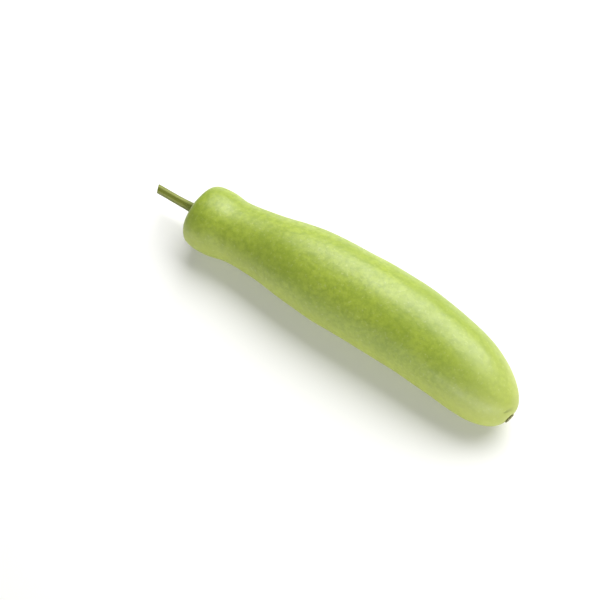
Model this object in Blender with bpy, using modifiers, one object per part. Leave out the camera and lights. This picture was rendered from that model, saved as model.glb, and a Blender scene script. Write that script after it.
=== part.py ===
"""A bottle gourd as picked, lying on a flat surface.

Three pieces: the fruit, the cut stem at its head and the dry scar that the flower left at
its other end. The fruit is turned about a straight axis, given its soft dents, bent along
its length, and laid down, with the stem towards -X and the blossom end towards +X. It rests
on three small flats: under the head, under the belly and close to the blossom end.

Metres, +Z up, with the origin on the surface, under the middle of the gourd.
"""
import math

import bmesh
import bpy
import numpy as np
from mathutils import Matrix, Vector, noise

MM = 0.001

# The fruit, measured along its centre line from the foot of the stem
FRUIT_LENGTH = 359.5 * MM
GIRTH = (                       # distance along, radius there
    (0.0 * MM, 23.5 * MM),      # crown, round the stem
    (14.0 * MM, 30.7 * MM),
    (29.0 * MM, 32.1 * MM),     # head
    (48.5 * MM, 29.5 * MM),     # waist
    (77.0 * MM, 30.9 * MM),
    (111.0 * MM, 36.2 * MM),    # shoulder
    (155.0 * MM, 39.9 * MM),
    (201.0 * MM, 40.5 * MM),    # belly
    (245.0 * MM, 40.0 * MM),
    (288.0 * MM, 37.6 * MM),
    (323.0 * MM, 33.1 * MM),
    (FRUIT_LENGTH, 28.7 * MM),  # blossom end
)
HEAD_ROUND = 10.0 * MM          # length over which the head rounds off, and how bluntly
HEAD_BLUNT = 1.45
BLOSSOM_ROUND = 58.0 * MM       # the same at the blossom end
BLOSSOM_BLUNT = 2.5

# Direction of the centre line, in degrees from the straight line between its two ends
BEND = (                        # share of the length, direction there
    (0.00, -0.7),
    (0.09, 8.3),
    (0.25, 7.6),
    (0.45, 4.5),
    (0.62, 2.5),
    (0.78, -5.5),
    (0.90, -13.5),
    (1.00, -12.0),
)

# Soft dents and swellings of the skin, and the folds that run out from the stem
DENT_HEIGHT = 1.1 * MM
DENT_LENGTH = 42.0 * MM         # size of a dent along the fruit
DENT_TURNS = 0.8                # size of a dent across it: how fast the pattern changes
FOLDS = 5
FOLD_HEIGHT = 0.55 * MM
FOLD_START = 6.0 * MM           # distance from the axis where a fold is full
FOLD_REACH = 15.0 * MM          # distance from the stem over which it fades

# How the gourd lies: turned about its length until three low points carry it
ROLL = 45.0
PITCH = 1.0
FLAT_DEPTH = 0.5 * MM           # how far the low points are pressed flat

# The stem
STEM_LENGTH = 42.0 * MM
STEM_SINK = 2.4 * MM            # depth of its foot in the head
STEM_TURN = 4.2                 # degrees between the stem and the straight line of the fruit
STEM_RADII = (                  # distance from the skin, outer radius
    (-STEM_SINK, 5.3 * MM),
    (1.5 * MM, 5.3 * MM),
    (5.0 * MM, 4.85 * MM),
    (12.0 * MM, 4.55 * MM),
    (26.0 * MM, 4.35 * MM),
    (50.0 * MM, 4.45 * MM),
)
STEM_RIDGES = 5
RIDGE_SHARE = 0.13              # height of a ridge as a share of the radius
CUT_SLANT = 27.0                # degrees of the cut from square
CUT_TOWARDS = 70.0              # degrees round the stem to the side that the cut faces

# The dry scar of the flower, an oval disc with a raised rim
SCAR_RADIUS = 5.0 * MM
SCAR_OVAL = 0.86
SCAR_SINK = 0.7 * MM
SCAR_RISE = 0.4 * MM
SCAR_SIDES = 28
SCAR_STEPS = (                  # from the edge inwards: step in, step up
    (0.80 * MM, 0.15 * MM),
    (0.90 * MM, -0.35 * MM),
    (1.10 * MM, -0.25 * MM),
    (1.25 * MM, 0.20 * MM),
)
SCAR_GRAIN = 2.2 * MM           # size and strength of its unevenness
SCAR_WAVER = 0.07
SCAR_ROUGH = 0.22 * MM

GAP = 0.3 * MM                  # clearance between touching pieces
AROUND = 64                     # facets round the fruit
RINGS = 62                      # rings along it, with more of them at its ends
END_RINGS = (0.4 * MM, 1.8 * MM, 4.3 * MM)
SIDES_A_RIDGE = 6
STEM_SPACING = 5.0 * MM         # distance between rings of the stem
PIT_SIDES = 32
WELD = 0.01 * MM                # points closer than this become one
SHARP_ANGLE = 50.0              # degrees between faces above which an edge stays sharp

SKIN_COLOUR = (0.36, 0.50, 0.12)
STEM_COLOUR = (0.20, 0.24, 0.07)
SCAR_COLOUR = (0.10, 0.075, 0.045)


def smooth(stations, at):
    """Smooth curve through stations of (place, value), read at the places in `at`."""
    place, value = np.array(stations, dtype=float).T
    step = np.diff(place)
    rise = np.diff(value) / step
    slope = np.empty(len(place))
    slope[0], slope[-1] = rise[0], rise[-1]
    slope[1:-1] = (rise[:-1] * step[1:] + rise[1:] * step[:-1]) / (step[:-1] + step[1:])
    i = np.clip(np.searchsorted(place, at, side="right") - 1, 0, len(step) - 1)
    t = np.clip((at - place[i]) / step[i], 0.0, 1.0)
    ends = value[i] * (1 + 2 * t) * (1 - t) ** 2 + value[i + 1] * t * t * (3 - 2 * t)
    return ends + step[i] * (slope[i] * t * (1 - t) ** 2 - slope[i + 1] * t * t * (1 - t))


def rounded(share, blunt):
    """From 0 at an end of the fruit to 1 where its rounding stops."""
    left = 1.0 - np.clip(share, 0.0, 1.0)
    return np.maximum(1.0 - left ** blunt, 0.0) ** (1.0 / blunt)


def fruit_radius(along):
    """Radius of the fruit at a distance along its centre line."""
    head = rounded(along / HEAD_ROUND, HEAD_BLUNT)
    blossom = rounded((FRUIT_LENGTH - along) / BLOSSOM_ROUND, BLOSSOM_BLUNT)
    return smooth(GIRTH, along) * head * blossom


def trace_centre_line(paces=1200):
    """Walk along the bend; the line between its two ends lies along +X."""
    along = np.linspace(0.0, FRUIT_LENGTH, paces + 1)
    angle = np.radians(smooth(BEND, along / FRUIT_LENGTH))
    pace = FRUIT_LENGTH / paces
    x = np.concatenate(([0.0], np.cumsum((np.cos(angle[1:]) + np.cos(angle[:-1])) * pace / 2)))
    y = np.concatenate(([0.0], np.cumsum((np.sin(angle[1:]) + np.sin(angle[:-1])) * pace / 2)))
    lean = math.atan2(y[-1], x[-1])
    level_x = x * math.cos(lean) + y * math.sin(lean)
    level_y = y * math.cos(lean) - x * math.sin(lean)
    return along, level_x, level_y, angle - lean


CENTRE_LINE = trace_centre_line()


def centre_line(along):
    """Point of the bent centre line, its direction, and the side that the bend bows to."""
    x, y, angle = (float(np.interp(along, CENTRE_LINE[0], row)) for row in CENTRE_LINE[1:])
    forward = Vector((math.cos(angle), math.sin(angle), 0.0))
    side = Vector((-math.sin(angle), math.cos(angle), 0.0))
    return Vector((x, y, 0.0)), forward, side


def bend(point):
    """Move a point of the straight, hanging fruit to its place on the bent, lying one."""
    along = min(max(-point.z, 0.0), FRUIT_LENGTH)
    centre, forward, side = centre_line(along)
    return centre + forward * (-point.z - along) + side * point.x - Vector((0.0, 0.0, point.y))


def dent(point):
    """Height of the skin over the turned shape, at a point of the straight fruit."""
    turns = DENT_TURNS / smooth(GIRTH, -point.z)
    place = Vector((point.x * turns, point.y * turns, point.z / DENT_LENGTH))
    off_axis = math.hypot(point.x, point.y)
    from_stem = math.hypot(off_axis, point.z)
    fade = math.exp(-(from_stem / FOLD_REACH) ** 2) * min(off_axis / FOLD_START, 1.0)
    fold = math.cos(FOLDS * math.atan2(point.y, point.x)) * FOLD_HEIGHT * fade
    return noise.noise(place) * DENT_HEIGHT + fold


def material(name, colour, roughness):
    made = bpy.data.materials.new(name)
    made.use_nodes = True
    shader = made.node_tree.nodes["Principled BSDF"]
    shader.inputs["Base Color"].default_value = (*colour, 1.0)
    shader.inputs["Roughness"].default_value = roughness
    shader.inputs["Metallic"].default_value = 0.0
    return made


def put_in(collection, thing):
    """Move an object into one collection only."""
    for old in list(thing.users_collection):
        old.objects.unlink(thing)
    collection.objects.link(thing)


def new_piece(name, mesh, collection, finish):
    """One smooth-shaded, named piece with its own material."""
    mesh.name = name
    mesh.materials.clear()
    mesh.materials.append(finish)
    mesh.shade_smooth()
    mesh.set_sharp_from_angle(angle=math.radians(SHARP_ANGLE))
    thing = bpy.data.objects.new(name, mesh)
    collection.objects.link(thing)
    return thing


def mesh_of(thing):
    """The mesh of an object with its modifiers, or of a curve with its bevel."""
    graph = bpy.context.evaluated_depsgraph_get()
    graph.update()
    return bpy.data.meshes.new_from_object(thing.evaluated_get(graph))


def turned_fruit(collection):
    """The straight fruit: a profile that hangs from the origin, turned about Z."""
    even = np.linspace(0.0, 1.0, RINGS)
    crowded = 0.5 - 0.5 * np.cos(math.pi * even)
    along = (even + crowded) / 2 * FRUIT_LENGTH
    ends = np.array(END_RINGS)
    along = np.unique(np.concatenate((along, ends, FRUIT_LENGTH - ends)))
    points = [(radius, 0.0, -place) for radius, place in zip(fruit_radius(along), along)]
    profile = bpy.data.meshes.new("fruit_profile")
    profile.from_pydata(points, [(i, i + 1) for i in range(len(points) - 1)], [])
    turned = bpy.data.objects.new("fruit_turned", profile)
    collection.objects.link(turned)
    screw = turned.modifiers.new("turn", "SCREW")
    screw.axis = "Z"
    screw.angle = math.tau
    screw.steps = AROUND
    screw.render_steps = AROUND
    screw.use_merge_vertices = True
    screw.merge_threshold = WELD
    mesh = mesh_of(turned)
    bpy.data.objects.remove(turned)
    return mesh


def make_fruit(collection, finish):
    """The turned fruit with its dents, bent along its length."""
    mesh = turned_fruit(collection)
    work = bmesh.new()
    work.from_mesh(mesh)
    work.normal_update()
    for vertex in work.verts:
        vertex.co = vertex.co + vertex.normal * dent(vertex.co)
    for vertex in work.verts:
        vertex.co = bend(vertex.co)
    bmesh.ops.recalc_face_normals(work, faces=work.faces)
    work.to_mesh(mesh)
    work.free()
    return new_piece("fruit", mesh, collection, finish)


def stem_frame():
    """Turns +Z into the direction in which the stem leaves the head."""
    angle = math.radians(STEM_TURN)
    out = Vector((-math.cos(angle), -math.sin(angle), 0.0))
    return out.to_track_quat("Z", "Y").to_matrix().to_4x4()


def stem_outline(collection):
    """The stem's ridged cross-section, one unit in radius."""
    outline = bpy.data.curves.new("stem_outline", "CURVE")
    outline.dimensions = "2D"
    ring = outline.splines.new("POLY")
    sides = STEM_RIDGES * SIDES_A_RIDGE
    ring.points.add(sides - 1)
    ring.use_cyclic_u = True
    for i, point in enumerate(ring.points):
        turn = math.tau * i / sides
        groove = 0.5 - 0.5 * math.cos(STEM_RIDGES * turn)
        radius = 1.0 - RIDGE_SHARE * groove
        point.co = (radius * math.cos(turn), radius * math.sin(turn), 0.0, 1.0)
    thing = bpy.data.objects.new("stem_outline", outline)
    collection.objects.link(thing)
    return thing


def swept_stem(collection):
    """The ridged outline swept along +Z, thick at its foot."""
    outline = stem_outline(collection)
    path = bpy.data.curves.new("stem_path", "CURVE")
    path.dimensions = "3D"
    path.bevel_mode = "OBJECT"
    path.bevel_object = outline
    path.use_fill_caps = True
    stations = [height for height, radius in STEM_RADII]
    heights = np.unique(np.concatenate((stations, np.arange(8 * MM, stations[-1], STEM_SPACING))))
    line = path.splines.new("POLY")
    line.points.add(len(heights) - 1)
    for point, height, radius in zip(line.points, heights, smooth(STEM_RADII, heights)):
        point.co = (0.0, 0.0, float(height), 1.0)
        point.radius = float(radius)
    swept = bpy.data.objects.new("stem_path", path)
    collection.objects.link(swept)
    mesh = mesh_of(swept)
    for used in (swept, outline):
        bpy.data.objects.remove(used)
    return mesh


def make_stem(collection, finish):
    """The swept stem, cut off at a slant and turned to stand on the head."""
    mesh = swept_stem(collection)
    work = bmesh.new()
    work.from_mesh(mesh)
    bmesh.ops.remove_doubles(work, verts=work.verts, dist=WELD)
    towards = Matrix.Rotation(math.radians(CUT_TOWARDS), 3, "Z")
    slant = Matrix.Rotation(math.radians(CUT_SLANT), 3, "Y")
    bmesh.ops.bisect_plane(work, geom=work.verts[:] + work.edges[:] + work.faces[:],
                           plane_co=(0.0, 0.0, STEM_LENGTH),
                           plane_no=towards @ slant @ Vector((0.0, 0.0, 1.0)),
                           clear_outer=True)
    bmesh.ops.holes_fill(work, edges=[edge for edge in work.edges if edge.is_boundary], sides=0)
    bmesh.ops.recalc_face_normals(work, faces=work.faces)
    bmesh.ops.transform(work, matrix=stem_frame(), verts=work.verts)
    work.to_mesh(mesh)
    work.free()
    return new_piece("stem", mesh, collection, finish)


def scar_frame():
    """Turns +Z into the direction of the blossom end, and moves the origin to it."""
    centre, forward, side = centre_line(FRUIT_LENGTH)
    return Matrix.Translation(centre) @ forward.to_track_quat("Z", "Y").to_matrix().to_4x4()


def make_scar(collection, finish):
    """A thin corky disc with an uneven rim, sunk in the blossom end."""
    work = bmesh.new()
    bmesh.ops.create_cone(work, cap_ends=True, cap_tris=False, segments=SCAR_SIDES,
                          radius1=SCAR_RADIUS, radius2=SCAR_RADIUS,
                          depth=SCAR_SINK + SCAR_RISE,
                          matrix=Matrix.Translation((0.0, 0.0, (SCAR_RISE - SCAR_SINK) / 2)))
    top = max(work.faces, key=lambda face: face.calc_center_median().z)
    for inwards, upwards in SCAR_STEPS:
        bmesh.ops.inset_region(work, faces=[top], thickness=inwards, depth=upwards,
                               use_even_offset=False)
    bmesh.ops.poke(work, faces=[top])
    for vertex in work.verts:
        place = Vector((vertex.co.x, vertex.co.y, 0.0)) / SCAR_GRAIN
        off_centre = math.hypot(vertex.co.x, vertex.co.y) / SCAR_RADIUS
        waver = SCAR_WAVER * noise.noise(place)
        vertex.co.x *= 1.0 + waver
        vertex.co.y *= SCAR_OVAL + waver
        if vertex.co.z > 0.0:
            vertex.co.z += SCAR_ROUGH * off_centre * noise.noise(place * 2.0)
    bmesh.ops.recalc_face_normals(work, faces=work.faces)
    bmesh.ops.transform(work, matrix=scar_frame(), verts=work.verts)
    mesh = bpy.data.meshes.new("blossom_scar")
    work.to_mesh(mesh)
    work.free()
    return new_piece("blossom_scar", mesh, collection, finish)


def pit_cutter(name, radius, depth, frame, collection):
    """Cutter for a round pit, which stands as far out of the skin as it goes in."""
    bpy.ops.mesh.primitive_cylinder_add(vertices=PIT_SIDES, radius=radius, depth=2 * depth)
    cutter = bpy.context.object
    cutter.name = name
    cutter.data.transform(frame)
    put_in(collection, cutter)
    return cutter


def surface_cutter(collection):
    """Cutter whose top is the surface that the gourd lies on."""
    depth = 20.0 * MM
    bpy.ops.mesh.primitive_cube_add(size=1.0, location=(0.0, 0.0, -depth / 2))
    cutter = bpy.context.object
    cutter.name = "surface"
    cutter.scale = (FRUIT_LENGTH * 1.4, FRUIT_LENGTH * 0.5, depth)
    put_in(collection, cutter)
    return cutter


def cut(thing, cutter):
    """Take a cutter's shape out of an object."""
    cutter.hide_render = True
    cutter.display_type = "WIRE"
    boolean = thing.modifiers.new(cutter.name, "BOOLEAN")
    boolean.operation = "DIFFERENCE"
    boolean.solver = "EXACT"
    boolean.object = cutter


def world_corners(things):
    """Lowest and highest corner of some objects together, in the world."""
    bpy.context.view_layer.update()
    points = [thing.matrix_world @ vertex.co for thing in things for vertex in thing.data.vertices]
    low = Vector(min(point[axis] for point in points) for axis in range(3))
    high = Vector(max(point[axis] for point in points) for axis in range(3))
    return low, high


def lay_down(lie, pieces):
    """Turn the gourd as it lies, over the origin, with its low points just in the surface."""
    lie.rotation_euler = (math.radians(ROLL), math.radians(PITCH), 0.0)
    low, high = world_corners(pieces)
    middle = (low + high) / 2
    lie.location = (-middle.x, -middle.y, -low.z - FLAT_DEPTH)


def build():
    for old in list(bpy.data.objects):
        bpy.data.objects.remove(old)
    gourd = bpy.data.collections.new("bottle_gourd")
    cutters = bpy.data.collections.new("cutters")
    for collection in (gourd, cutters):
        bpy.context.scene.collection.children.link(collection)

    fruit = make_fruit(gourd, material("green_skin", SKIN_COLOUR, 0.42))
    stem = make_stem(gourd, material("stem_skin", STEM_COLOUR, 0.6))
    scar = make_scar(gourd, material("dry_cork", SCAR_COLOUR, 0.85))
    socket = pit_cutter("stem_socket", STEM_RADII[0][1] + GAP, STEM_SINK + GAP,
                        stem_frame(), cutters)
    pit = pit_cutter("scar_pit", (1.0 + SCAR_WAVER) * SCAR_RADIUS + GAP, SCAR_SINK + GAP,
                     scar_frame(), cutters)

    lie = bpy.data.objects.new("lie", None)
    gourd.objects.link(lie)
    for thing in (fruit, stem, scar, socket, pit):
        thing.parent = lie
    lay_down(lie, (fruit, stem, scar))
    for cutter in (socket, pit, surface_cutter(cutters)):
        cut(fruit, cutter)


build()
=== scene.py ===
# %% [markdown]
# # Dressing a bottle gourd
#
# A bottle gourd is one long fruit with a short piece of its stem and, at the far end, the dry scar of
# its flower. The plain solids of those three pieces already exist. This lesson sets up a camera, lights
# and a floor, and then makes the finer pieces that are seen: a skin with its dents, folds and flecks, a
# ridged stem with a cut end and hairs, and a cracked corky scar.
#
# First the plain solids are loaded. They are never moved: each new piece is made where its solid lies.

# %% Load the plain gourd
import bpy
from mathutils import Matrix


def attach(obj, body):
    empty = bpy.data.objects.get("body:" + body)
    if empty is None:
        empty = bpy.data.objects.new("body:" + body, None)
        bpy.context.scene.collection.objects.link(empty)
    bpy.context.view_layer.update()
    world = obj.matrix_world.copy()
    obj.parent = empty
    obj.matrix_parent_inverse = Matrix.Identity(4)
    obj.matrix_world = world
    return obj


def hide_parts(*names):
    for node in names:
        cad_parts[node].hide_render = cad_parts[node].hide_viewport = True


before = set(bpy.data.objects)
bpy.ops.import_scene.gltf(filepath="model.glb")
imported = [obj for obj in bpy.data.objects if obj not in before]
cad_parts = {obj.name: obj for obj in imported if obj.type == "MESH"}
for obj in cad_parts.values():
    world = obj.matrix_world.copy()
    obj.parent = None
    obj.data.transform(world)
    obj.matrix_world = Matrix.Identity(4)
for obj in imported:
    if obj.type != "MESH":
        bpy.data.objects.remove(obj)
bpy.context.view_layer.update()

# %% Bring in the modules
import math
import random

import bmesh
import bpy
import numpy as np
from mathutils import Matrix, Vector, noise

MM = 0.001
scene = bpy.context.scene

# %% [markdown]
# ## The camera
#
# The gourd is seen from above and a little from its blossom end, so that it runs across the picture
# from the upper left to the lower right. A long lens keeps both ends nearly the same size. A camera
# looks down its own -Z axis, so it is turned by asking for the rotation that brings -Z onto the line
# to the point that it aims at.

# %% Place the camera
AZIMUTH = math.radians(37.5)
ELEVATION = math.radians(59.0)
DISTANCE = 1.5
AIM = Vector((-0.0140, -0.0339, 0.0398))


def direction(azimuth, elevation):
    """Unit vector from the gourd outwards; azimuth 0 is the -Y side."""
    level = math.cos(elevation)
    return Vector((math.sin(azimuth) * level, -math.cos(azimuth) * level, math.sin(elevation)))


def look_at(thing, place, target):
    """Moves a camera or a light to a place and turns it to face the target."""
    thing.location = place
    thing.rotation_euler = (target - place).to_track_quat("-Z", "Y").to_euler()


camera_data = bpy.data.cameras.new("camera")
camera_data.lens = 100.0
camera_data.sensor_width = 36.0
camera_data.clip_end = 20.0
camera = bpy.data.objects.new("camera", camera_data)
scene.collection.objects.link(camera)
look_at(camera, AIM + direction(AZIMUTH, ELEVATION) * DISTANCE, AIM)
scene.camera = camera
print("camera stands at", [round(v, 3) for v in camera.location])

# %% [markdown]
# ## Light
#
# The gourd lies in a bright studio. One wide, soft light hangs behind it, on the far side from the
# camera, and draws the pale streak along its upper side. A low, wide light in front fills the side
# that faces the camera, together with what the pale floor throws back. Wide area lights give soft
# shadows, as a window or a softbox does.

# %% Hang the lights
LIGHT_AIM = Vector((0.0, 0.0, 0.04))
scene.view_settings.view_transform = "Standard"
scene.view_settings.look = "None"


def softbox(name, azimuth, elevation, distance, width, height, power):
    """A wide light at an angle and distance from the gourd, facing it."""
    data = bpy.data.lights.new(name, "AREA")
    data.shape = "RECTANGLE"
    data.size = width
    data.size_y = height
    data.energy = power
    light = bpy.data.objects.new(name, data)
    scene.collection.objects.link(light)
    place = direction(math.radians(azimuth), math.radians(elevation)) * distance
    look_at(light, place, LIGHT_AIM)


softbox("back_softbox", azimuth=177.0, elevation=57.0, distance=1.3, width=1.8, height=1.3, power=36.0)
softbox("front_fill", azimuth=37.5, elevation=8.0, distance=1.6, width=2.6, height=0.3, power=17.0)

world = bpy.data.worlds.new("studio")
scene.world = world
world.use_nodes = True
sky = world.node_tree.nodes["Background"]
sky.inputs["Color"].default_value = (1.0, 1.0, 1.0, 1.0)
sky.inputs["Strength"].default_value = 0.17

# %% [markdown]
# ## Colours and helpers for materials
#
# Colours are easiest to read as the 0 to 255 values of a photo. Blender works with linear light, so
# each value is turned from the one into the other.
#
# A material is a net of nodes. The helper `node` adds one, sets its options and either links or fills
# its sockets. The helpers after it make the patterns and mixtures that the materials share, so that
# those read from top to bottom.

# %% Colour and node helpers


def paint(red, green, blue):
    """A linear colour from the 0 to 255 values of a photo."""
    shares = [value / 255.0 for value in (red, green, blue)]
    linear = [s / 12.92 if s <= 0.04045 else ((s + 0.055) / 1.055) ** 2.4 for s in shares]
    return (*linear, 1.0)


def node(tree, kind, sockets=None, **options):
    """Adds a node; a socket is linked to another node's output or set to a value."""
    made = tree.nodes.new(kind)
    for name, value in options.items():
        setattr(made, name, value)
    for name, value in (sockets or {}).items():
        if isinstance(value, bpy.types.NodeSocket):
            tree.links.new(value, made.inputs[name])
        else:
            made.inputs[name].default_value = value
    return made


def mixed(tree, share, under, over):
    """A colour between two others."""
    made = node(tree, "ShaderNodeMix", {0: share, 6: under, 7: over}, data_type="RGBA")
    return made.outputs[2]


def stepped(tree, value, low, high, to_low=0.0, to_high=1.0):
    """A value stretched so that low and high become to_low and to_high, with soft ends."""
    made = node(tree, "ShaderNodeMapRange",
                {"Value": value, "From Min": low, "From Max": high, "To Min": to_low, "To Max": to_high},
                interpolation_type="SMOOTHSTEP")
    return made.outputs["Result"]


def grain(tree, place, size, detail=2.0, rough=0.5, stretch=(1.0, 1.0, 1.0)):
    """Soft random pattern whose blots are about `size` metres across."""
    scaled = node(tree, "ShaderNodeMapping", {"Vector": place, "Scale": stretch})
    made = node(tree, "ShaderNodeTexNoise",
                {"Vector": scaled.outputs["Vector"], "Scale": 1.0 / size, "Detail": detail,
                 "Roughness": rough})
    return made.outputs["Fac"]


def bump(tree, height, strength, distance, under=None):
    """Fine unevenness that only the light shows, on top of the bumps in `under`."""
    sockets = {"Height": height, "Strength": strength, "Distance": distance}
    if under is not None:
        sockets["Normal"] = under
    return node(tree, "ShaderNodeBump", sockets).outputs["Normal"]


def z_share(tree, place):
    """The Z of a place: along a straight piece or, once the gourd lies, above the floor."""
    return node(tree, "ShaderNodeSeparateXYZ", {"Vector": place}).outputs["Z"]


def stored(tree, name, socket="Fac"):
    """What the vertices keep under a name: a number, or a place if `socket` is Vector."""
    return node(tree, "ShaderNodeAttribute", attribute_name=name).outputs[socket]


def new_material(name):
    """A new material, its net of nodes and its shader."""
    made = bpy.data.materials.new(name)
    made.use_nodes = True
    tree = made.node_tree
    return made, tree, tree.nodes["Principled BSDF"]


print("white is", paint(255, 255, 255))

# %% [markdown]
# ## The floor
#
# A plain, pale, matt floor. It glows a little, which keeps it white in the picture and the gourd's
# shadow on it soft. It is so wide that this camera doesn't see its edge.

# %% Lay the floor
bpy.ops.object.select_all(action="DESELECT")
bpy.ops.mesh.primitive_plane_add(size=8.0, location=(0.0, 0.0, 0.0))
floor = bpy.context.object
floor.name = "floor"
floor_paint, floor_tree, floor_shader = new_material("floor_paint")
floor_shader.inputs["Base Color"].default_value = paint(222, 222, 219)
floor_shader.inputs["Roughness"].default_value = 0.7
floor_shader.inputs["Emission Color"].default_value = (1.0, 1.0, 1.0, 1.0)
floor_shader.inputs["Emission Strength"].default_value = 0.2
floor.data.materials.append(floor_paint)
print("floor is", tuple(round(v, 1) for v in floor.dimensions), "m")
print("floor finish:", len(floor_tree.nodes), "nodes")

# %% [markdown]
# ## The shape of the fruit
#
# The fruit is a turned shape that was bent. Its radius is known at a few stations along its middle
# line: a rounded head at the stem, a slight waist, a shoulder, a long belly and a round blossom end.
# A smooth curve runs through the stations, and each end is rounded off by a formula, because there
# the radius falls to nothing too steeply for a curve through a few stations. These are the same
# measures as the plain solid has.

# %% Measures of the fruit
FRUIT_LENGTH = 359.5 * MM
BELLY_PLACE = 201.0 * MM
FRUIT_RADII = (                 # distance along the middle line, radius
    (0.0 * MM, 23.5 * MM),      # crown, round the stem
    (14.0 * MM, 30.7 * MM),
    (29.0 * MM, 32.1 * MM),     # head
    (48.5 * MM, 29.5 * MM),     # waist
    (77.0 * MM, 30.9 * MM),
    (111.0 * MM, 36.2 * MM),    # shoulder
    (155.0 * MM, 39.9 * MM),
    (BELLY_PLACE, 40.5 * MM),   # belly
    (245.0 * MM, 40.0 * MM),
    (288.0 * MM, 37.6 * MM),
    (323.0 * MM, 33.1 * MM),
    (FRUIT_LENGTH, 28.7 * MM),  # blossom end
)
HEAD_ROUND, HEAD_BLUNT = 10.0 * MM, 1.45
BLOSSOM_ROUND, BLOSSOM_BLUNT = 58.0 * MM, 2.5


def smooth(stations, at):
    """Smooth curve through stations of (place, value), read at the places in `at`."""
    place, value = np.array(stations, dtype=float).T
    step = np.diff(place)
    rise = np.diff(value) / step
    slope = np.empty(len(place))
    slope[0], slope[-1] = rise[0], rise[-1]
    slope[1:-1] = (rise[:-1] * step[1:] + rise[1:] * step[:-1]) / (step[:-1] + step[1:])
    i = np.clip(np.searchsorted(place, at, side="right") - 1, 0, len(step) - 1)
    t = np.clip((at - place[i]) / step[i], 0.0, 1.0)
    ends = value[i] * (1 + 2 * t) * (1 - t) ** 2 + value[i + 1] * t * t * (3 - 2 * t)
    return ends + step[i] * (slope[i] * t * (1 - t) ** 2 - slope[i + 1] * t * t * (1 - t))


def rounded(share, blunt):
    """From 0 at an end of the fruit to 1 where its rounding stops."""
    left = 1.0 - np.clip(share, 0.0, 1.0)
    return np.maximum(1.0 - left ** blunt, 0.0) ** (1.0 / blunt)


def fruit_radius(along):
    """Radius of the fruit at a distance along its middle line."""
    head = rounded(along / HEAD_ROUND, HEAD_BLUNT)
    blossom = rounded((FRUIT_LENGTH - along) / BLOSSOM_ROUND, BLOSSOM_BLUNT)
    return smooth(FRUIT_RADII, along) * head * blossom


print("radius at the belly:", round(float(fruit_radius(BELLY_PLACE)) / MM, 1), "mm")

# %% [markdown]
# ## Raise the straight fruit
#
# By hand, such a shape is drawn from a circle that is extruded and scaled again and again, ring by
# ring. Here a loop does it. The fruit hangs from the origin, stem end up, with its rings set closer
# together at the two ends, where it curves most. The last ring is closed with a fan of triangles, and
# a Subdivision Surface modifier then halves every edge and smooths it.

# %% Extrude the rings
AROUND = 104
RINGS = 118
END_RINGS = (0.3 * MM, 1.0 * MM, 2.2 * MM, 4.0 * MM)


def ring_places():
    """Distances along the fruit at which it has a ring."""
    even = np.linspace(0.0, 1.0, RINGS)
    crowded = 0.5 - 0.5 * np.cos(math.pi * even)
    places = (even + crowded) / 2 * FRUIT_LENGTH
    ends = np.array(END_RINGS)
    places = np.unique(np.concatenate((places, ends, FRUIT_LENGTH - ends)))
    return places[1:-1]


def extrude_rings(places, radii, around):
    """A closed turned shape: a circle at -places[0], extruded and scaled through the others."""
    bpy.ops.object.select_all(action="DESELECT")
    bpy.ops.mesh.primitive_circle_add(vertices=around, radius=radii[0], fill_type="TRIFAN",
                                      location=(0.0, 0.0, 0.0))
    thing = bpy.context.object
    thing.data.transform(Matrix.Translation((0.0, 0.0, -places[0])))
    bpy.ops.object.mode_set(mode="EDIT")
    bpy.ops.mesh.select_all(action="SELECT")
    bpy.ops.mesh.region_to_loop()
    for last, place, old, radius in zip(places, places[1:], radii, radii[1:]):
        bpy.ops.mesh.extrude_region_move(TRANSFORM_OT_translate={"value": (0.0, 0.0, last - place)})
        bpy.ops.transform.resize(value=(radius / old, radius / old, 1.0),
                                 center_override=(0.0, 0.0, -place))
    bpy.ops.mesh.edge_face_add()
    bpy.ops.mesh.poke()
    bpy.ops.mesh.select_all(action="SELECT")
    bpy.ops.mesh.normals_make_consistent(inside=False)
    bpy.ops.object.mode_set(mode="OBJECT")
    return thing


def apply_subdivision(thing, levels):
    """Smooths a piece with a Subdivision Surface modifier and applies it."""
    bpy.ops.object.select_all(action="DESELECT")
    thing.select_set(True)
    bpy.context.view_layer.objects.active = thing
    modifier = thing.modifiers.new("smooth", "SUBSURF")
    modifier.levels = levels
    modifier.render_levels = levels
    bpy.ops.object.modifier_apply(modifier=modifier.name)


places = ring_places()
skin = extrude_rings(places, fruit_radius(places), AROUND)
skin.name = "gourd_skin"
apply_subdivision(skin, 1)
print("straight skin:", len(skin.data.polygons), "faces")

# %% [markdown]
# ## Keep the straight shape for later
#
# The pattern of the skin runs along the fruit. Once the fruit is bent, that direction is hard to find
# again, so each point's place on the straight fruit is stored now, as an attribute that the material
# can read.

# %% Store the straight places


def read_points(mesh):
    """The places of a mesh's vertices, as rows."""
    flat = np.empty(len(mesh.vertices) * 3, dtype=np.float32)
    mesh.vertices.foreach_get("co", flat)
    return flat.reshape(-1, 3).astype(float)


def write_points(mesh, points):
    """Moves a mesh's vertices to new places, given as rows."""
    mesh.vertices.foreach_set("co", points.astype(np.float32).ravel())
    mesh.update()


def store_straight(mesh):
    """Keeps each vertex's present place as the attribute `straight`."""
    kept = mesh.attributes.new("straight", "FLOAT_VECTOR", "POINT")
    kept.data.foreach_set("vector", read_points(mesh).astype(np.float32).ravel())


def store_number(mesh, name, numbers):
    """Keeps one number for each vertex as an attribute."""
    kept = mesh.attributes.new(name, "FLOAT", "POINT")
    kept.data.foreach_set("value", np.array(numbers, dtype=np.float32))


store_straight(skin.data)
print("attributes:", [attribute.name for attribute in skin.data.attributes])
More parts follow.
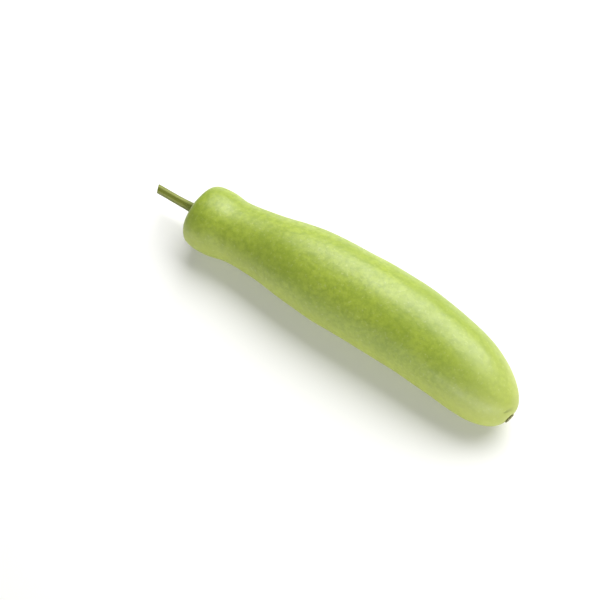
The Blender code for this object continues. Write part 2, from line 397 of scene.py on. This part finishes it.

# %% [markdown]
# ## Dents, folds and wrinkles
#
# No gourd is truly turned. Broad, shallow dents make its highlight waver. Five folds run out from the
# stem and carry its ridges on, and a low collar swells up round it. At the blossom end the skin draws
# in a little towards the scar, with short wrinkles, and beside the scar it has one short crease, a
# nick. All of them are heights above the turned shape, so each is a small formula, and the vertices
# are pushed out along their normals by the sum. The nick is also kept as an attribute, because the
# material paints its crease darker, as painted shade.

# %% Dents all over
DENT_HEIGHT, DENT_LENGTH, DENT_TURNS = 1.1 * MM, 42.0 * MM, 0.8
RIPPLE_HEIGHT, RIPPLE_SIZE, RIPPLE_ALONG = 0.22 * MM, 13.0 * MM, 0.6
PEBBLE_HEIGHT, PEBBLE_SIZE = 0.05 * MM, 4.0 * MM


def broad_dents(x, y, z):
    """Dents, ripples and pebbling all over the skin."""
    turns = DENT_TURNS / float(smooth(FRUIT_RADII, -z))
    broad = noise.noise(Vector((x * turns, y * turns, z / DENT_LENGTH))) * DENT_HEIGHT
    ripple = noise.noise(Vector((x, y, RIPPLE_ALONG * z)) / RIPPLE_SIZE) * RIPPLE_HEIGHT
    pebble = noise.noise(Vector((x, y, z)) / PEBBLE_SIZE) * PEBBLE_HEIGHT
    return broad + ripple + pebble


def noise_round(turn, lap, level):
    """Noise read once round a circle, so that its ends meet; a wider lap has more ups and downs."""
    return noise.noise(Vector((lap * math.cos(turn), lap * math.sin(turn), level)))


print("dents up to", round((DENT_HEIGHT + RIPPLE_HEIGHT + PEBBLE_HEIGHT) / MM, 2), "mm")

# %% Folds at the stem
FOLDS, FOLD_HEIGHT, FOLD_START, FOLD_REACH = 5, 0.55 * MM, 6.0 * MM, 15.0 * MM
COLLAR_HEIGHT, COLLAR_PLACE, COLLAR_WIDTH, COLLAR_LOBES = 0.9 * MM, 5.6 * MM, 1.5 * MM, 0.25
CREASE_HEIGHT, CREASE_REACH, CREASE_LAP, CREASE_LEVEL = 0.28 * MM, 11.0 * MM, 2.6, 0.0


def stem_folds(x, y, z):
    """The five folds, the collar and the fine creases round the stem."""
    off_axis = math.hypot(x, y)
    turn = math.atan2(y, x)
    fade = math.exp(-((off_axis ** 2 + z * z) / FOLD_REACH ** 2)) * min(off_axis / FOLD_START, 1.0)
    fold = math.cos(FOLDS * turn) * FOLD_HEIGHT * fade
    collar = COLLAR_HEIGHT * math.exp(-((off_axis - COLLAR_PLACE) / COLLAR_WIDTH) ** 2)
    lobes = 1.0 - COLLAR_LOBES + COLLAR_LOBES * math.cos(FOLDS * turn)
    crease = noise_round(turn, CREASE_LAP, CREASE_LEVEL)
    fine = crease * CREASE_HEIGHT * math.exp(-(off_axis / CREASE_REACH) ** 2)
    return fold + collar * lobes + fine * min(off_axis / COLLAR_PLACE, 1.0)


print("folds at the stem:", FOLDS)

# %% Pucker and nick at the blossom end
PUCKER_HEIGHT, PUCKER_REACH = 0.6 * MM, 9.0 * MM
WRINKLES, WRINKLE_HEIGHT, WRINKLE_VALLEY = 9, 0.22 * MM, 0.6
WRINKLE_PLACE, WRINKLE_REACH = 6.5 * MM, 4.0 * MM
WRINKLE_SWAY, WRINKLE_LAP, WRINKLE_LEVEL = 2.5, 1.7, 3.0
NICK_DEPTH, NICK_RADIUS, NICK_WIDTH = 0.3 * MM, 13.0 * MM, 1.3 * MM
NICK_LEAN, NICK_WAVER, NICK_WAVE = 2.8 * MM, 0.8 * MM, 3.5 * MM
NICK_START, NICK_STOP = -1.28, -0.35            # turns round the middle line, in radians
NICK_SHARP_END, NICK_STEEPNESS = 0.1, 1.6


def blossom_pucker(x, y):
    """The dimple and the short wrinkles round the scar."""
    off_axis = math.hypot(x, y)
    turn = math.atan2(y, x)
    dimple = -PUCKER_HEIGHT * math.exp(-(off_axis / PUCKER_REACH) ** 2)
    sway = WRINKLE_SWAY * noise_round(turn, WRINKLE_LAP, WRINKLE_LEVEL)
    ray = abs(math.sin(WRINKLES / 2 * turn + sway)) - WRINKLE_VALLEY
    reach = math.exp(-((off_axis - WRINKLE_PLACE) / WRINKLE_REACH) ** 2)
    return dimple + ray * WRINKLE_HEIGHT * reach


def nick_share(x, y, z):
    """The short crease beside the scar: 1 along its bottom, fading to 0 round it."""
    along = (math.atan2(y, x) - NICK_START) / (NICK_STOP - NICK_START)
    if not 0.0 < along < 1.0:
        return 0.0
    waver = NICK_WAVER * noise.noise(Vector((x, y, z)) / NICK_WAVE)
    middle = NICK_RADIUS + NICK_LEAN * (1.0 - along) ** 2 + waver
    across = 1.0 - abs(math.hypot(x, y) - middle) / (NICK_WIDTH * (1.0 + along))
    return min(max(NICK_STEEPNESS * across, 0.0), 1.0) * min(along / NICK_SHARP_END, 1.0 - along, 1.0)


print("wrinkles round the scar:", WRINKLES)

# %% Sculpt the skin
HEAD_REACH, BLOSSOM_REACH = 37.5 * MM, 30.0 * MM


def sculpt(thing):
    """Pushes each vertex of the straight skin out by its height, and stores the nick."""
    mesh = thing.data
    points = read_points(mesh)
    normals = np.empty(len(points) * 3, dtype=np.float32)
    mesh.vertices.foreach_get("normal", normals)
    heights = np.empty(len(points))
    nick = np.zeros(len(points))
    for i, (x, y, z) in enumerate(points):
        heights[i] = broad_dents(x, y, z)
        if -z < HEAD_REACH:
            heights[i] += stem_folds(x, y, z)
        elif FRUIT_LENGTH + z < BLOSSOM_REACH:
            nick[i] = nick_share(x, y, z)
            heights[i] += blossom_pucker(x, y) - nick[i] * NICK_DEPTH
    write_points(mesh, points + normals.reshape(-1, 3) * heights[:, None])
    store_number(mesh, "nick", nick)
    return heights


heights = sculpt(skin)
print("heights from", round(heights.min() / MM, 2), "to", round(heights.max() / MM, 2), "mm")

# %% [markdown]
# ## Bend it and lay it down
#
# The middle line of the fruit is known by its direction at a few stations. Walking along it in small
# paces gives its points, and each ring of the straight fruit is carried over to its place there. A
# Curve modifier could do this too, but a formula keeps the rings square to the line and matches the
# plain solid exactly.
#
# Then the gourd is rolled about its length and pitched a little, because a bent fruit comes to rest
# on three low points. Where it touches the floor the skin is pressed flat.

# %% Bend along the middle line
BEND = (                        # share of the length, direction in degrees
    (0.00, -0.7),
    (0.09, 8.3),
    (0.25, 7.6),
    (0.45, 4.5),
    (0.62, 2.5),
    (0.78, -5.5),
    (0.90, -13.5),
    (1.00, -12.0),
)


def trace_middle_line(paces=1200):
    """Walk along the bend; the line between its two ends lies along +X."""
    along = np.linspace(0.0, FRUIT_LENGTH, paces + 1)
    angle = np.radians(smooth(BEND, along / FRUIT_LENGTH))
    pace = FRUIT_LENGTH / paces
    x = np.concatenate(([0.0], np.cumsum((np.cos(angle[1:]) + np.cos(angle[:-1])) * pace / 2)))
    y = np.concatenate(([0.0], np.cumsum((np.sin(angle[1:]) + np.sin(angle[:-1])) * pace / 2)))
    lean = math.atan2(y[-1], x[-1])
    level_x = x * math.cos(lean) + y * math.sin(lean)
    level_y = y * math.cos(lean) - x * math.sin(lean)
    return along, level_x, level_y, angle - lean


MIDDLE = trace_middle_line()


def bent(points):
    """Places of the straight, hanging fruit's points on the bent, lying one."""
    along = np.clip(-points[:, 2], 0.0, FRUIT_LENGTH)
    x, y, angle = (np.interp(along, MIDDLE[0], row) for row in MIDDLE[1:])
    beyond = -points[:, 2] - along
    moved_x = x + beyond * np.cos(angle) - points[:, 0] * np.sin(angle)
    moved_y = y + beyond * np.sin(angle) + points[:, 0] * np.cos(angle)
    return np.column_stack((moved_x, moved_y, -points[:, 1]))


write_points(skin.data, bent(read_points(skin.data)))
print("bow of the fruit:", round(MIDDLE[2].max() / MM, 1), "mm")

# %% Lay it on its low points
ROLL, PITCH = math.radians(45.0), math.radians(1.0)
CROWN = Vector((-156.934, -11.382, 31.328)) * MM      # where the stem leaves the plain fruit

TURN = Matrix.Rotation(PITCH, 4, "Y") @ Matrix.Rotation(ROLL, 4, "X")
LIE = Matrix.Translation(CROWN) @ TURN
skin.data.transform(LIE)
points = read_points(skin.data)
print("pressed flat:", int((points[:, 2] < 0.0).sum()), "points")
points[:, 2] = np.maximum(points[:, 2], 0.0)
write_points(skin.data, points)
skin.data.shade_smooth()
print("place of the stem's foot:", [round(v / MM, 1) for v in LIE.translation], "mm")

# %% [markdown]
# ## The finish of the skin
#
# The skin is a fresh yellow-green, and never one flat colour. Soft blots a few millimetres across
# mottle it, small pale flecks and a few tan scuffs are strewn over it, and it turns lighter towards the
# blossom end. Its lower side, as it lies, is painted lighter too: partly a paler ground side, partly
# painted light thrown up from the floor. It has a dull, waxy gloss. Each of these is a layer: a random
# pattern, or the place on the fruit, decides where one colour gives way to the next. Finer patterns
# of the same kind make small bumps. The nick beside the scar is painted a darker olive where its
# attribute says so, as painted shade in the crease.

# %% Skin colours
SKIN_GREEN = paint(156, 174, 55)
SKIN_DEEP = paint(127, 148, 38)
# Lower side as it lies: partly a paler ground side, partly painted bounce light from the floor.
SKIN_UNDERSIDE_BOUNCE = paint(181, 190, 80)
SKIN_PALE = paint(180, 190, 104)
SKIN_FLECK = paint(190, 198, 128)
SKIN_TAN = paint(150, 148, 74)
# Painted shade in the nick's crease: the skin's green, darker.
NICK_SHADE_OLIVE = paint(116, 128, 42)
PALE_FROM, PALE_FULL = -270.0 * MM, -360.0 * MM         # on the straight fruit, down from the stem
# Heights above the floor over which the painted bounce light on the lower side fades in.
BOUNCE_FROM, BOUNCE_FULL = 60.0 * MM, 32.0 * MM           # above the floor


def skin_colour(tree, place):
    """Layers of colour from broad tone to fine flecks, each no stronger than its `to_high`."""
    tone = stepped(tree, grain(tree, place, 55.0 * MM), 0.35, 0.65, to_high=0.4)
    colour = mixed(tree, tone, SKIN_GREEN, SKIN_DEEP)
    blots = grain(tree, place, 5.0 * MM, detail=4.0, rough=0.7)
    colour = mixed(tree, stepped(tree, blots, 0.34, 0.66, to_high=0.75), colour, SKIN_DEEP)
    blossom = stepped(tree, z_share(tree, place), PALE_FROM, PALE_FULL, to_high=0.5)
    colour = mixed(tree, blossom, colour, SKIN_PALE)
    # The lower side as it lies is painted lighter: partly a paler ground side, partly painted bounce
    # light from the floor.
    above_floor = z_share(tree, node(tree, "ShaderNodeTexCoord").outputs["Object"])
    underside_bounce = stepped(tree, above_floor, BOUNCE_FROM, BOUNCE_FULL, to_high=0.5)
    colour = mixed(tree, underside_bounce, colour, SKIN_UNDERSIDE_BOUNCE)
    flecks = grain(tree, place, 3.0 * MM, detail=3.0, rough=0.7)
    colour = mixed(tree, stepped(tree, flecks, 0.56, 0.72, to_high=0.3), colour, SKIN_FLECK)
    scuffs = grain(tree, place, 16.0 * MM, detail=5.0, rough=0.75, stretch=(1.0, 1.0, 0.5))
    return mixed(tree, stepped(tree, scuffs, 0.66, 0.74, to_high=0.5), colour, SKIN_TAN)


skin_finish, tree, shader = new_material("green_skin")
place = stored(tree, "straight", "Vector")
# Painted shade: the crease of the nick is painted darker.
nick_shade = stepped(tree, stored(tree, "nick"), 0.0, 1.0, to_high=0.8)
colour = mixed(tree, nick_shade, skin_colour(tree, place), NICK_SHADE_OLIVE)
tree.links.new(colour, shader.inputs["Base Color"])
print("layers of the skin's colour:", len(tree.nodes), "nodes")

# %% Skin gloss and bumps
gloss = stepped(tree, grain(tree, place, 9.0 * MM, detail=3.0), 0.3, 0.7, to_low=0.38, to_high=0.48)
tree.links.new(gloss, shader.inputs["Roughness"])
swell = bump(tree, grain(tree, place, 5.0 * MM), strength=0.35, distance=0.5 * MM)
pores = bump(tree, grain(tree, place, 1.1 * MM), strength=0.25, distance=0.15 * MM, under=swell)
tree.links.new(pores, shader.inputs["Normal"])
shader.inputs["Specular IOR Level"].default_value = 0.75
shader.inputs["Subsurface Weight"].default_value = 0.12
shader.inputs["Subsurface Radius"].default_value = (0.006, 0.008, 0.002)
shader.inputs["Subsurface Scale"].default_value = 1.0
skin.data.materials.clear()
skin.data.materials.append(skin_finish)
print("skin finish:", len(tree.nodes), "nodes")

# %% [markdown]
# ## The stem
#
# A short piece of the stalk stays on a picked gourd. It is five-sided, with a rounded ridge at each
# corner and a groove between, thick where it leaves the fruit, and it was cut off at a slant. It is
# raised like the fruit, ring by ring, as a round post. A formula then pulls its points into the ridged
# outline and moves each ring a little to the side, so that the stem doesn't look machined.

# %% Raise the stem
STEM_LENGTH, STEM_SINK, STEM_SPARE = 42.0 * MM, 2.4 * MM, 7.0 * MM
STEM_RADII = (                  # height, radius
    (-STEM_SINK, 5.3 * MM),
    (1.5 * MM, 5.3 * MM),
    (5.0 * MM, 4.85 * MM),
    (12.0 * MM, 4.55 * MM),
    (26.0 * MM, 4.35 * MM),
    (50.0 * MM, 4.45 * MM),
)
STEM_AROUND, STEM_RINGS = 60, 36

rise = np.linspace(-STEM_SINK, STEM_LENGTH + STEM_SPARE, STEM_RINGS)
stem = extrude_rings(-rise, smooth(STEM_RADII, rise), STEM_AROUND)
stem.name = "stem_skin"
print("stem raised through", STEM_RINGS, "rings")

# %% Pull it into ridges
STEM_RIDGES, GROOVE_SHARE, GROOVE_POWER = 5, 0.13, 0.8
RIBS, RIB_SHARE = 15, 0.012
KNOB_SHARE, KNOB_SIZE = 0.02, 3.0 * MM
WANDER, WANDER_WAVE, WANDER_START = 0.25 * MM, 14.0 * MM, 8.0 * MM
LINE_X, LINE_Y = (1.3, 5.2), (5.2, 1.3)         # where the noise is read for each direction


def ridge_shape(turn):
    """Share of the radius at an angle round the stem: ridges with fine ribs between."""
    groove = (0.5 - 0.5 * math.cos(STEM_RIDGES * turn)) ** GROOVE_POWER
    return 1.0 - GROOVE_SHARE * groove + RIB_SHARE * math.cos(RIBS * turn)


def ridged(x, y, z):
    """Where a point of the round stem goes: into ridges and knobs, round a middle that wanders."""
    knob = KNOB_SHARE * noise.noise(Vector((x, y, z)) / KNOB_SIZE)
    share = ridge_shape(math.atan2(y, x)) * (1.0 + knob)
    free = WANDER * min(1.0, abs(z) / WANDER_START)
    up = z / WANDER_WAVE
    aside_x = free * noise.noise(Vector((*LINE_X, up)))
    aside_y = free * noise.noise(Vector((*LINE_Y, up)))
    return x * share + aside_x, y * share + aside_y, z


write_points(stem.data, np.array([ridged(*row) for row in read_points(stem.data)]))
print("ridges:", STEM_RIDGES)

# %% [markdown]
# ## Cut the stem
#
# Bisect slices a mesh with a plane, as a knife would, drops one side and fills the cut. The cut face
# is then doubled and scaled towards its middle a few times: a thin raised skin round the edge, a firm
# ring, and a soft middle that has dried and sunk a little. Scaling keeps the outline, while an inset
# by a fixed distance would fold it over where its edges are short.

# %% Slice at a slant
CUT_SLANT, CUT_TOWARDS = math.radians(27.0), math.radians(70.0)
SQUARE_ON, HIGH_UP = 0.99, 0.8 * STEM_LENGTH    # how the cut face is told from the others

cut_turn = Matrix.Rotation(CUT_TOWARDS, 3, "Z") @ Matrix.Rotation(CUT_SLANT, 3, "Y")
cut_normal = cut_turn @ Vector((0.0, 0.0, 1.0))
cut_place = Vector((0.0, 0.0, STEM_LENGTH))


def select_faces(thing, wanted):
    """Selects the faces that `wanted` is true for; call it in object mode."""
    for polygon in thing.data.polygons:
        polygon.select = wanted(polygon)
    for edge in thing.data.edges:
        edge.select = False
    for vertex in thing.data.vertices:
        vertex.select = False


bpy.ops.object.select_all(action="DESELECT")
stem.select_set(True)
bpy.context.view_layer.objects.active = stem
bpy.ops.object.mode_set(mode="EDIT")
bpy.ops.mesh.select_all(action="SELECT")
bpy.ops.mesh.bisect(plane_co=cut_place, plane_no=cut_normal, use_fill=True, clear_outer=True)
bpy.ops.object.mode_set(mode="OBJECT")
select_faces(stem, lambda face: face.normal.dot(cut_normal) > SQUARE_ON and face.center.z > HIGH_UP)
cut_face, = [face for face in stem.data.polygons if face.select]
cut_middle = cut_face.center.copy()
print("cut face has", len(cut_face.vertices), "corners")

# %% Give the cut face its own finish
stem_green, green_tree, green_shader = new_material("stem_green")
stem_cut, cut_tree, cut_shader = new_material("stem_cut")
stem.data.materials.clear()
stem.data.materials.append(stem_green)
stem.data.materials.append(stem_cut)
for face in stem.data.polygons:
    face.material_index = 1 if face.select else 0
print("finishes on the stem:", [finish.name for finish in stem.data.materials])

# %% Sink the middle of the cut face
CUT_STEPS = (                   # from the edge inwards: size as a share of the last ring, step up
    (0.94, 0.05 * MM),
    (0.86, -0.12 * MM),
    (0.77, -0.18 * MM),
    (0.65, -0.30 * MM),
)

bpy.ops.object.mode_set(mode="EDIT")
bpy.ops.mesh.select_mode(type="FACE")
for share, upwards in CUT_STEPS:
    bpy.ops.mesh.inset(thickness=0.0)
    bpy.ops.transform.resize(value=(share, share, share), center_override=cut_middle)
    bpy.ops.transform.translate(value=cut_normal * upwards)
bpy.ops.mesh.poke()
bpy.ops.mesh.select_mode(type="VERT")
bpy.ops.object.mode_set(mode="OBJECT")
print("stem:", len(stem.data.polygons), "faces")

# %% [markdown]
# ## Smooth the stem and note its ridges
#
# The stem's material paints the ridges pale and the grooves dark, so each point notes how near it is
# to a ridge, from 0 to 1, while the stem still stands straight up. Subdivision rounds the ridges. The
# edge of the cut has to stay crisp, so its edges are creased first: Subdivision then keeps them sharp.

# %% Finish the stem's mesh
CUT_CREASE = 0.7


def crease_between_slots(thing, amount):
    """Creases the edges where two material slots meet."""
    work = bmesh.new()
    work.from_mesh(thing.data)
    crease = work.edges.layers.float.new("crease_edge")
    for edge in work.edges:
        slots = {face.material_index for face in edge.link_faces}
        if len(slots) > 1:
            edge[crease] = amount
    work.to_mesh(thing.data)
    work.free()


crease_between_slots(stem, CUT_CREASE)
apply_subdivision(stem, 1)
stem.data.shade_smooth()
store_straight(stem.data)
angles = [math.atan2(vertex.co.y, vertex.co.x) for vertex in stem.data.vertices]
store_number(stem.data, "ridge", [0.5 + 0.5 * math.cos(STEM_RIDGES * turn) for turn in angles])
print("smooth stem:", len(stem.data.polygons), "faces")

# %% [markdown]
# ## Hairs on the stem
#
# A young gourd's stem is softly hairy. One hair is modelled: a thin three-sided spike that bows over.
# Then it is copied to about a thousand places on the side of the stem, and each copy has a length and
# a lean of its own. Chance gives the height and the angle of each root, and the formula of the ridges
# carries the root onto the side. The random numbers start from a fixed seed, so they fall the same
# way every time.

# %% Model one hair
HAIR_RISES = (0.0, 0.4, 0.75, 1.0)              # all three are shares of its length
HAIR_RADII = (0.024, 0.019, 0.012, 0.004)
HAIR_BOW = 0.35

hair = extrude_rings(-np.array(HAIR_RISES), np.array(HAIR_RADII), 3)
hair_points = read_points(hair.data)
hair_points[:, 0] += HAIR_BOW * hair_points[:, 2] ** 2
hair_faces = [tuple(face.vertices) for face in hair.data.polygons]
bpy.data.objects.remove(hair)
print("one hair:", len(hair_faces), "faces")

# %% Strew the hairs
HAIRS = 1100
HAIR_LENGTH, HAIR_SHORTEST, HAIR_LONGEST = 0.9 * MM, 0.4, 1.3
HAIR_LEAN, HAIR_LIFT = 0.5, 0.4                 # at most, to any side, and always towards the cut
HAIR_SINK = 0.06 * MM
HAIR_TOP = STEM_LENGTH + 2.3 * MM               # the high side of the slanting cut
CUT_EDGE = 0.3 * MM                             # left bare below the cut


def stem_side(turn, rise):
    """The place on the side of the stem at an angle and a height."""
    radius = float(smooth(STEM_RADII, rise))
    return Vector(ridged(radius * math.cos(turn), radius * math.sin(turn), rise))


def strew(count, seed):
    """A mesh of many hairs on the side of the stem, below its cut."""
    chance = random.Random(seed)
    points, faces = [], []
    while len(points) < count * len(hair_points):
        turn, rise = chance.uniform(0.0, math.tau), chance.uniform(0.0, HAIR_TOP)
        root = stem_side(turn, rise)
        if (root - cut_place).dot(cut_normal) > -CUT_EDGE:
            continue
        side = Vector((math.cos(turn), math.sin(turn), 0.0))
        lean = Vector([chance.uniform(-HAIR_LEAN, HAIR_LEAN) for axis in "XYZ"])
        lean.z += HAIR_LIFT
        out = (side + lean).normalized().to_track_quat("Z", "Y").to_matrix()
        spin = Matrix.Rotation(chance.uniform(0.0, math.tau), 3, "Z")
        size = HAIR_LENGTH * chance.uniform(HAIR_SHORTEST, HAIR_LONGEST)
        place = Matrix.Translation(root - side * HAIR_SINK) @ (out @ spin).to_4x4()
        first = len(points)
        points += [place @ (Vector(point) * size) for point in hair_points]
        faces += [tuple(first + corner for corner in face) for face in hair_faces]
    mesh = bpy.data.meshes.new("stem_hairs")
    mesh.from_pydata(points, [], faces)
    made = bpy.data.objects.new("stem_hairs", mesh)
    scene.collection.objects.link(made)
    return made


hairs = strew(HAIRS, seed=7)
print("hairs:", HAIRS, "with", len(hairs.data.polygons), "faces")

# %% [markdown]
# ## Stand the stem on the head
#
# The stem was made standing on the origin. It is turned so that it leaves the head in line with the
# fruit, a little to one side, and then goes through the same roll, pitch and shift as the fruit. The
# hairs go with it.

# %% Place the stem
STEM_TURN = math.radians(4.2)

stem_out = Vector((-math.cos(STEM_TURN), -math.sin(STEM_TURN), 0.0))
stem_place = LIE @ stem_out.to_track_quat("Z", "Y").to_matrix().to_4x4()
for piece in (stem, hairs):
    piece.data.transform(stem_place)
    piece.data.update()
print("stem from", [round(v / MM, 1) for v in stem_place.translation], "mm")

# %% [markdown]
# ## The finish of the stem
#
# The stalk has begun to dry: its ridges are pale and straw-green, the grooves between them a deep
# olive, and fine fibres run along it. It is darkest and greenest at its foot. The cut face has a pale
# pith, and a darker green round it.

# %% Stem material
STEM_GROOVE = paint(98, 106, 10)
STEM_RIDGE = paint(146, 152, 80)
STEM_FIBRE = paint(120, 128, 48)
STEM_FOOT = paint(80, 96, 20)
FOOT_TOP = 12.0 * MM


def stem_colour(tree, place):
    """Ridges and grooves, fibres over both, and a darker foot."""
    ridges = stepped(tree, stored(tree, "ridge"), 0.35, 0.95)
    colour = mixed(tree, ridges, STEM_GROOVE, STEM_RIDGE)
    fibres = grain(tree, place, 0.8 * MM, detail=3.0, rough=0.6, stretch=(1.0, 1.0, 0.05))
    colour = mixed(tree, stepped(tree, fibres, 0.35, 0.7, to_high=0.55), colour, STEM_FIBRE)
    foot = stepped(tree, z_share(tree, place), FOOT_TOP, 0.0, to_high=0.5)
    return mixed(tree, foot, colour, STEM_FOOT)


place = stored(green_tree, "straight", "Vector")
green_tree.links.new(stem_colour(green_tree, place), green_shader.inputs["Base Color"])
green_shader.inputs["Roughness"].default_value = 0.62
fibres = grain(green_tree, place, 0.7 * MM, detail=3.0, rough=0.6, stretch=(1.0, 1.0, 0.06))
fibre_bump = bump(green_tree, fibres, strength=0.6, distance=0.25 * MM)
green_tree.links.new(fibre_bump, green_shader.inputs["Normal"])
print("stem finish:", len(green_tree.nodes), "nodes")

# %% Cut face material
CUT_PITH = paint(196, 198, 142)
CUT_RING = paint(122, 130, 56)
RING_INSIDE, PITH_OUTSIDE = 3.2 * MM, 1.6 * MM          # off the axis

place = stored(cut_tree, "straight", "Vector")
flat = node(cut_tree, "ShaderNodeVectorMath", {0: place, 1: (1.0, 1.0, 0.0)}, operation="MULTIPLY")
off_axis = node(cut_tree, "ShaderNodeVectorMath", {0: flat.outputs["Vector"]}, operation="LENGTH")
middle = stepped(cut_tree, off_axis.outputs["Value"], RING_INSIDE, PITH_OUTSIDE)
pith = mixed(cut_tree, middle, CUT_RING, CUT_PITH)
pores = stepped(cut_tree, grain(cut_tree, place, 0.5 * MM), 0.4, 0.7, to_high=0.5)
cut_tree.links.new(mixed(cut_tree, pores, pith, STEM_FIBRE), cut_shader.inputs["Base Color"])
cut_shader.inputs["Roughness"].default_value = 0.8
print("cut finish:", len(cut_tree.nodes), "nodes")

# %% Hair material
HAIR_GREEN = paint(160, 168, 96)
HAIR_PALE = paint(196, 200, 146)

hair_finish, tree, shader = new_material("hair_finish")
place = node(tree, "ShaderNodeTexCoord").outputs["Object"]
tint = stepped(tree, grain(tree, place, 6.0 * MM), 0.35, 0.65)
tree.links.new(mixed(tree, tint, HAIR_GREEN, HAIR_PALE), shader.inputs["Base Color"])
shader.inputs["Roughness"].default_value = 0.5
hairs.data.materials.append(hair_finish)
print("hair finish:", len(tree.nodes), "nodes")

# %% [markdown]
# ## The scar of the flower
#
# Where the flower withered off, a small disc of cork closes the fruit. It is oval, with an uneven
# raised rim, a sunken ring and a nub in the middle where the style stood. It starts as a circle that
# is extruded up and then inwards, step by step. The faces are cut finer, and noise makes the surface
# wander and crack.

# %% Extrude the scar
SCAR_RADIUS, SCAR_AROUND = 5.0 * MM, 72
SCAR_PROFILE = (                # radius share, height
    (1.00, -1.10 * MM),
    (1.02, -0.10 * MM),
    (0.97, 0.24 * MM),
    (0.90, 0.36 * MM),
    (0.82, 0.38 * MM),
    (0.72, 0.28 * MM),
    (0.62, 0.14 * MM),
    (0.50, 0.04 * MM),
    (0.38, 0.02 * MM),
    (0.27, 0.08 * MM),
    (0.18, 0.22 * MM),
    (0.08, 0.30 * MM),
)

shares, levels = np.array(SCAR_PROFILE).T
scar = extrude_rings(-levels, shares * SCAR_RADIUS, SCAR_AROUND)
scar.name = "scar_cork"
apply_subdivision(scar, 2)
print("scar:", len(scar.data.polygons), "faces")

# %% Crack and roughen the scar
SCAR_OVAL, RIM_WAVER, RIM_WAVE = 0.86, 0.07, 2.2 * MM
CRACKS, CRACK_DEPTH, CRACK_SHARPNESS = 11, 0.35 * MM, 7.0
CRACK_FADE, CRACK_SWAY, CRACK_WAVE, CRACK_LEVEL = 1.6, 0.5, 1.6 * MM, 9.0 * MM
CRUMB_HEIGHT, CRUMB_SIZE = 0.10 * MM, 0.7 * MM
CRUMB_ROUGH, CRUMB_FINER, CRUMB_LAYERS = 1.0, 2.0, 3
LUMP_HEIGHT, LUMP_SIZE = 0.22 * MM, 1.1 * MM


def crack_depth(x, y):
    """Depth of the cracks, which run outwards, bend a little and fade at the middle."""
    turn = math.atan2(y, x) + CRACK_SWAY * noise.noise(Vector((x, y, CRACK_LEVEL)) / CRACK_WAVE)
    crack = max(0.0, 1.0 - CRACK_SHARPNESS * abs(math.sin(CRACKS * turn / 2)))
    return crack * CRACK_DEPTH * min(1.0, CRACK_FADE * math.hypot(x, y) / SCAR_RADIUS)


def corky(x, y, z, normal):
    """Where a point of the round scar goes: an uneven oval, cracked, crumbly and lumpy on top."""
    waver = RIM_WAVER * noise.noise(Vector((x, y, 0.0)) / RIM_WAVE)
    moved = np.array((x * (1.0 + waver), y * (SCAR_OVAL + waver), z))
    if z > 0.0:
        crumb = noise.fractal(Vector((x, y, z)) / CRUMB_SIZE, CRUMB_ROUGH, CRUMB_FINER, CRUMB_LAYERS)
        moved += normal * (CRUMB_HEIGHT * crumb - crack_depth(x, y))
        lump = LUMP_HEIGHT * noise.noise(Vector((x, y, 0.0)) / LUMP_SIZE)
        moved[2] += lump * math.hypot(x, y) / SCAR_RADIUS
    return moved


scar_normals = [np.array(vertex.normal) for vertex in scar.data.vertices]
round_scar = zip(read_points(scar.data), scar_normals)
write_points(scar.data, np.array([corky(*row, normal) for row, normal in round_scar]))
store_straight(scar.data)
print("cracks in the scar:", CRACKS)

# %% Put the scar on the blossom end
end_x, end_y, end_angle = (float(np.interp(FRUIT_LENGTH, MIDDLE[0], row)) for row in MIDDLE[1:])
forward = Vector((math.cos(end_angle), math.sin(end_angle), 0.0))
scar_turn = forward.to_track_quat("Z", "Y").to_matrix().to_4x4()
scar_place = LIE @ Matrix.Translation((end_x, end_y, 0.0)) @ scar_turn
scar.data.transform(scar_place)
scar.data.shade_smooth()
print("scar sits at", [round(v / MM, 1) for v in scar_place.translation], "mm")

# %% [markdown]
# ## The finish of the scar
#
# Dry cork: dark brown in the cracks and hollows, greyer and paler on the rim and in weathered patches,
# and quite dull. Soft random patterns break it up, and a finer one makes the bumps.

# %% Cork material
CORK_DARK = paint(84, 85, 54)
CORK_BROWN = paint(124, 122, 84)
CORK_GREY = paint(168, 166, 128)
RIM_LOW, RIM_HIGH = 0.20 * MM, 0.50 * MM

cork, tree, shader = new_material("scar_cork")
place = stored(tree, "straight", "Vector")
blots = stepped(tree, grain(tree, place, 1.6 * MM, detail=3.0, rough=0.6), 0.35, 0.65)
colour = mixed(tree, blots, CORK_DARK, CORK_BROWN)
rim = stepped(tree, z_share(tree, place), RIM_LOW, RIM_HIGH, to_high=0.6)
colour = mixed(tree, rim, colour, CORK_GREY)
patches = stepped(tree, grain(tree, place, 3.0 * MM, detail=1.0), 0.44, 0.56, to_high=0.8)
colour = mixed(tree, patches, colour, CORK_GREY)
tree.links.new(colour, shader.inputs["Base Color"])
shader.inputs["Roughness"].default_value = 0.85
crumbs = grain(tree, place, 0.5 * MM, detail=3.0, rough=0.6)
tree.links.new(bump(tree, crumbs, strength=0.7, distance=0.2 * MM), shader.inputs["Normal"])
scar.data.materials.append(cork)
print("cork finish:", len(tree.nodes), "nodes")

# %% [markdown]
# ## Attach the pieces
#
# Each new piece is attached to the body that carries it and, apart from the hairs, the plain solid
# that it stands for is hidden. The gourd has no moving parts, so all pieces ride on its one body.

# %% Ride, and hide the plain solids
for piece, plain, finish in ((skin, "fruit", "skin"), (stem, "stem", "stem"),
                             (scar, "blossom_scar", "scar")):
    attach(piece, "root")
    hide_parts(plain)
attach(hairs, "root")
